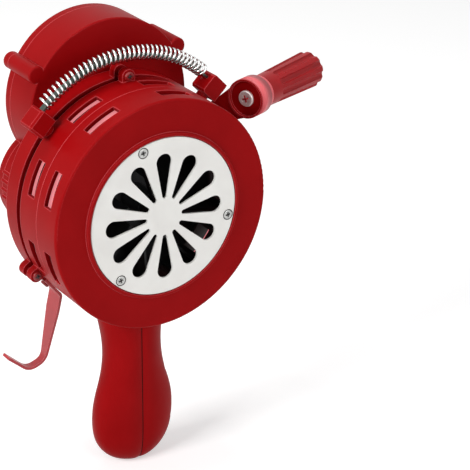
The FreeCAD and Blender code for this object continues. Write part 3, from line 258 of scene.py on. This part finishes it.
# Glass fibres leave the nylon matt and a little rough.
black_nylon = finish("glass_filled_black_nylon", "#121213", "#1E1E20", 0.50, patch_mm=6.0, grain_mm=0.6, grain=0.25,
                     edge_mm=0.3)
dress(black_nylon, "rotor")
# Ground steel: smooth, with sharp grey reflections.
ground_steel = finish("ground_bearing_steel", "#9A9B9C", "#B4B5B6", 0.22, patch_mm=5.0, grain_mm=0.2, grain=0.1,
                      metallic=1.0)
dress(ground_steel, "front_bearing", "rear_bearing", "rotor_shaft", "layshaft", "thrust_washer")


# ---------------------------------------------------------------------------
# The shell screws on their bosses: steel, painted over in the drum's red, so that
# only the dark cross tells the head from the boss.
painted_screw = finish("red_painted_screw", "#7A1214", "#8E1A1C", 0.34, patch_mm=2.0, grain_mm=0.3, grain=0.2,
                       edge_mm=0.15)
dress(painted_screw, "body_screws")
BODY_SCREWS_R_MM, BODY_SCREWS_AT, BODY_CROSS_MM = 67.9, (90.0, 210.0, 330.0), 2.4
boss_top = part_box("body_screws")[0].y / MM
screw_marks("body_screw_marks", [round_axis(BODY_SCREWS_R_MM, a, boss_top - MARK_LIFT_MM) for a in BODY_SCREWS_AT],
            TOWARDS_FRONT, "siren_body", BODY_CROSS_MM)


# ---------------------------------------------------------------------------
# The gear case: two mouldings of the same red ABS, closed by long screws. The
# gears inside are natural nylon, the bushes turned brass.
red_abs = finish("spark_eroded_red_abs", ABS_DARK, ABS_LIGHT, **abs_look)
dress(red_abs, "gear_case_front", "gear_case_rear")
dress(zinc, "case_screws")
# Natural nylon: milky, off-white, slightly waxy.
nylon = finish("natural_nylon", "#D6D2C4", "#E4E1D6", 0.42, patch_mm=8.0, grain_mm=0.5, grain=0.1, edge_mm=0.1)
dress(nylon, "rotor_pinion", "sleeve_gear", "layshaft_wheel", "layshaft_pinion", "crank_bevel", "crank_spacer")
# Turned brass: warm yellow metal.
brass = finish("turned_brass", "#B08D4A", "#C6A35C", 0.25, patch_mm=4.0, grain_mm=0.2, grain=0.1, metallic=1.0)
dress(brass, "layshaft_bushes", "crank_bush")


# ---------------------------------------------------------------------------
# The crank: a red ABS arm on a steel shaft, held by a nut, with a turning knob
# on an axle. Its eye shows a bright screw with a red cross, and a paler band
# runs round the eye and its collar.
dress(red_abs, "crank_arm")
dress(ground_steel, "crank_shaft", "knob_axle")
dress(zinc, "crank_nut")
# Satin nickel: a bright, soft, faintly warm metal.
nickel = finish("satin_nickel", "#DDD2D0", "#F4ECEA", 0.48, patch_mm=3.0, grain_mm=0.3, grain=0.1, metallic=0.7,
                edge_mm=0.2)
dress(nickel, "knob_screw")
# The knob's ABS: the arm's red lightened a little as painted light for its lit top, with painted highlights on the
# crests of its flutes.
knob_abs = finish("knob_red_abs_painted_lit", "#980F14", "#A41218", 0.38, patch_mm=16.0, grain_mm=0.7, grain=0.1, shine=0.15,
                  edge_mm=0.4, edge_colour="#C23A40")
dress(knob_abs, "crank_knob", "knob_cap")
# The collar's and the band's ABS: a lighter red, worn matt.
pale_abs = finish("pale_red_abs", "#DC5A60", "#E4666C", **pale_look)
dress(pale_abs, "knob_collar")
band_from, band_to, band_r, band_thick, band_sides = -1.2, 8.9, 11.46, 0.1, 64
crank_axis = Vector((0.912293, 0.406737, -0.047811))
eye = Vector((81.952, 22.726, 35.835))
band_foot = Matrix.Translation(eye * MM) @ facing(crank_axis) @ Matrix.Translation((0, 0, band_from * MM))
band = bmesh.new()
bmesh.ops.create_circle(band, segments=band_sides, radius=band_r * MM, matrix=band_foot)
far_rim = bmesh.ops.extrude_edge_only(band, edges=band.edges[:])["geom"]
bmesh.ops.translate(band, verts=[v for v in far_rim if isinstance(v, bmesh.types.BMVert)],
                    vec=crank_axis * (band_to - band_from) * MM)
bmesh.ops.recalc_face_normals(band, faces=band.faces[:])
bmesh.ops.solidify(band, geom=band.faces[:], thickness=band_thick * MM)
piece("eye_band", band, pale_abs, "crank")
KNOB_CROSS_FROM_EYE_MM, KNOB_CROSS_MM = 1.6, 4.2
screw_marks("knob_screw_marks", [eye - crank_axis * KNOB_CROSS_FROM_EYE_MM], -crank_axis, "crank", KNOB_CROSS_MM,
            filled=knob_abs)


# ---------------------------------------------------------------------------
# The grip: two halves of red ABS screwed together round the shell's tongue, with
# a thin shadow where they meet. Its soft round flanks have no paler edges.
SEAM_SHADOW, SEAM_HALF_MM = "#3A0405", 0.3
grip_abs = finish("spark_eroded_red_abs_grip", ABS_DARK, ABS_LIGHT, **dict(abs_look, edge_colour=None))
paint_over(grip_abs, SEAM_SHADOW, half_width_mm=SEAM_HALF_MM)
dress(grip_abs, "grip_left", "grip_right")
dress(zinc, "grip_screws")


# ---------------------------------------------------------------------------
# The carrying handle: a blued steel strap inside a close coil of chromed wire,
# held by two red blocks that are bolted from inside the drum.
dress(red_abs, "handle_block_left", "handle_block_right")
dress(zinc, "handle_bolts")
# Blued steel: a dull grey-green metal.
blued = finish("blued_spring_steel", "#4C5751", "#68726C", 0.32, patch_mm=5.0, grain_mm=0.3, grain=0.15, metallic=1.0,
               edge_mm=0.1)
dress(blued, "handle_strap")

# The coil is spun straight along Z, gets its straight ends, and is then bent onto
# the handle's arc. Sizes are in millimetres.
handle_y, handle_z, handle_r, handle_half = 17.5, 6.0, 73.0, math.radians(42.2)
coil_r, wire_r, turns, start = 3.5, 0.65, 38, math.radians(125.0)
wire_sides, turn_steps, lead_mm = 10, 24, 3.0
LEAD_STEPS = (0.35, 1.0)

coil = bmesh.new()
ring = bmesh.ops.create_circle(coil, segments=wire_sides, radius=wire_r)["verts"]
bmesh.ops.rotate(coil, verts=ring, cent=(0, 0, 0), matrix=Matrix.Rotation(math.pi / 2, 3, "X"))
bmesh.ops.translate(coil, verts=ring, vec=(coil_r, 0, 0))
bmesh.ops.rotate(coil, verts=ring, cent=(0, 0, 0), matrix=Matrix.Rotation(start, 3, "Z"))
arc_mm = 2 * handle_r * handle_half
steps = turns * turn_steps
bmesh.ops.spin(coil, geom=coil.edges[:], cent=(0, 0, 0), axis=(0, 0, 1), dvec=(0, 0, arc_mm / steps),
               angle=turns * 2 * math.pi, steps=steps)
open_ends = [e for e in coil.edges if e.is_boundary]
for low in (True, False):
    rim = [e for e in open_ends if (e.verts[0].co.z < arc_mm / 2) == low]
    for reach in LEAD_STEPS:
        grown = bmesh.ops.extrude_edge_only(coil, edges=rim)["geom"]
        moved = [v for v in grown if isinstance(v, bmesh.types.BMVert)]
        rim = [e for e in grown if isinstance(e, bmesh.types.BMEdge)]
        bmesh.ops.translate(coil, verts=moved, vec=(0, 0, (-1 if low else 1) * lead_mm * reach / sum(LEAD_STEPS)))
    bmesh.ops.holes_fill(coil, edges=rim, sides=wire_sides)
for v in coil.verts:
    along = -handle_half + v.co.z / handle_r
    r = handle_r + v.co.x
    v.co = Vector((r * math.sin(along), handle_y + v.co.y, handle_z + r * math.cos(along))) * MM
bmesh.ops.recalc_face_normals(coil, faces=coil.faces[:])

# Chromed wire: a mirror that turns white and black along each turn.
chrome = finish("chromed_spring_wire", "#C9CBCA", "#E6E8E7", 0.13, patch_mm=3.0, grain_mm=0.4, grain=0.05,
                metallic=1.0)
piece("coil_spring", coil, chrome, "siren_body", ["handle_spring"])


# ---------------------------------------------------------------------------
# The belt hook: a bent steel strip held by a red screw. Its powder coat is a
# lighter, slightly rippled red, paler at the edges with a painted highlight and a little wear.
red_powder = finish("red_powder_coat", "#9A2026", "#AA282E", 0.38, patch_mm=10.0, grain_mm=0.9, grain=0.15,
                    edge_mm=0.35, edge_colour="#E08286")
dress(red_powder, "belt_hook")
dress(painted_screw, "hook_screw")


# ---------------------------------------------------------------------------
# The stage: a plain pale floor under the grip, three soft studio lamps, and
# the camera at the photograph's viewing angle.
FLOOR_GAP_M, FLOOR_HALF_M = 0.0004, 6.0
floor_z = min(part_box("grip_left")[0].z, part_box("grip_right")[0].z) - FLOOR_GAP_M
ground = bmesh.new()
bmesh.ops.create_grid(ground, x_segments=1, y_segments=1, size=FLOOR_HALF_M)
bmesh.ops.translate(ground, verts=ground.verts[:], vec=(0, 0, floor_z))
sheet = bpy.data.meshes.new("floor")
ground.to_mesh(sheet)
ground.free()
floor = bpy.data.objects.new("floor", sheet)
bpy.context.scene.collection.objects.link(floor)


def shown_white(tree):
    """One for rays that the camera, a reflection or a clear piece sends out, and zero for the rest."""
    seen = add(tree, "ShaderNodeLightPath").outputs
    glossy = add(tree, "ShaderNodeMath", None, {0: seen["Is Camera Ray"], 1: seen["Is Glossy Ray"]},
                 operation="MAXIMUM")
    return add(tree, "ShaderNodeMath", None, {0: glossy.outputs[0], 1: seen["Is Transmission Ray"]},
               operation="MAXIMUM").outputs[0]


# Seamless paper: matt and near white, lifted a little where it is seen, so that it
# runs into the white background and still takes a shadow.
WHITE, PAPER_TONE, PAPER_LIFT = (1, 1, 1, 1), (0.78, 0.78, 0.78, 1), 0.45
paper = bpy.data.materials.new("white_paper_floor")
paper.use_nodes = True
tree = paper.node_tree
tree.nodes.clear()
lift = add(tree, "ShaderNodeMath", {1: PAPER_LIFT}, {0: shown_white(tree)}, operation="MULTIPLY")
glow = add(tree, "ShaderNodeEmission", {"Color": WHITE}, {"Strength": lift.outputs[0]})
matt = add(tree, "ShaderNodeBsdfDiffuse", {"Color": PAPER_TONE})
both = add(tree, "ShaderNodeAddShader", None, {0: matt.outputs[0], 1: glow.outputs[0]})
add(tree, "ShaderNodeOutputMaterial", None, {"Surface": both.outputs[0]})
sheet.materials.append(paper)

FILL_LIGHT = 0.25
world = bpy.data.worlds.new("studio")
world.use_nodes = True
tree = world.node_tree
tree.nodes.clear()
level = add(tree, "ShaderNodeMapRange", {"To Min": FILL_LIGHT, "To Max": 1.0}, {"Value": shown_white(tree)})
sky = add(tree, "ShaderNodeBackground", {"Color": WHITE}, {"Strength": level.outputs[0]})
add(tree, "ShaderNodeOutputWorld", None, {"Surface": sky.outputs[0]})
bpy.context.scene.world = world


def lamp(name, place, aim, size, watts):
    """A square softbox at a place, turned to its aim."""
    light = bpy.data.lights.new(name, "AREA")
    light.shape, light.size, light.energy = "SQUARE", size, watts
    holder = bpy.data.objects.new(name, light)
    bpy.context.scene.collection.objects.link(holder)
    holder.location = place
    holder.rotation_euler = (Vector(aim) - Vector(place)).to_track_quat("-Z", "Y").to_euler()


middle = (0.0, 0.02, -0.02)
lamp("left_softbox", (-1.3, -0.2, 0.75), middle, 0.6, 17.0)
lamp("front_softbox", (0.25, -1.5, 0.55), middle, 0.9, 9.5)
lamp("top_softbox", (-0.1, 0.25, 1.4), middle, 0.6, 9.0)

camera = bpy.data.objects.new("camera", bpy.data.cameras.new("camera"))
bpy.context.scene.collection.objects.link(camera)
# The picture's right, its up and the way ahead, fitted to the photograph.
right = Vector((0.8318, -0.5550, 0.0095))
up = Vector((0.2289, 0.3586, 0.9050))
ahead = Vector((0.5057, 0.7506, -0.4253))
CAMERA_AT = (-0.4527, -0.7605, 0.3965)
LENS_MM, SENSOR_MM, FAR_M = 137.87, 36.0, 50.0
turn = Matrix((right, up, -ahead)).transposed()
camera.matrix_world = Matrix.Translation(CAMERA_AT) @ turn.to_4x4()
camera.data.lens, camera.data.sensor_width, camera.data.clip_end = LENS_MM, SENSOR_MM, FAR_M
bpy.context.scene.camera = camera
bpy.context.scene.view_settings.view_transform = "Standard"
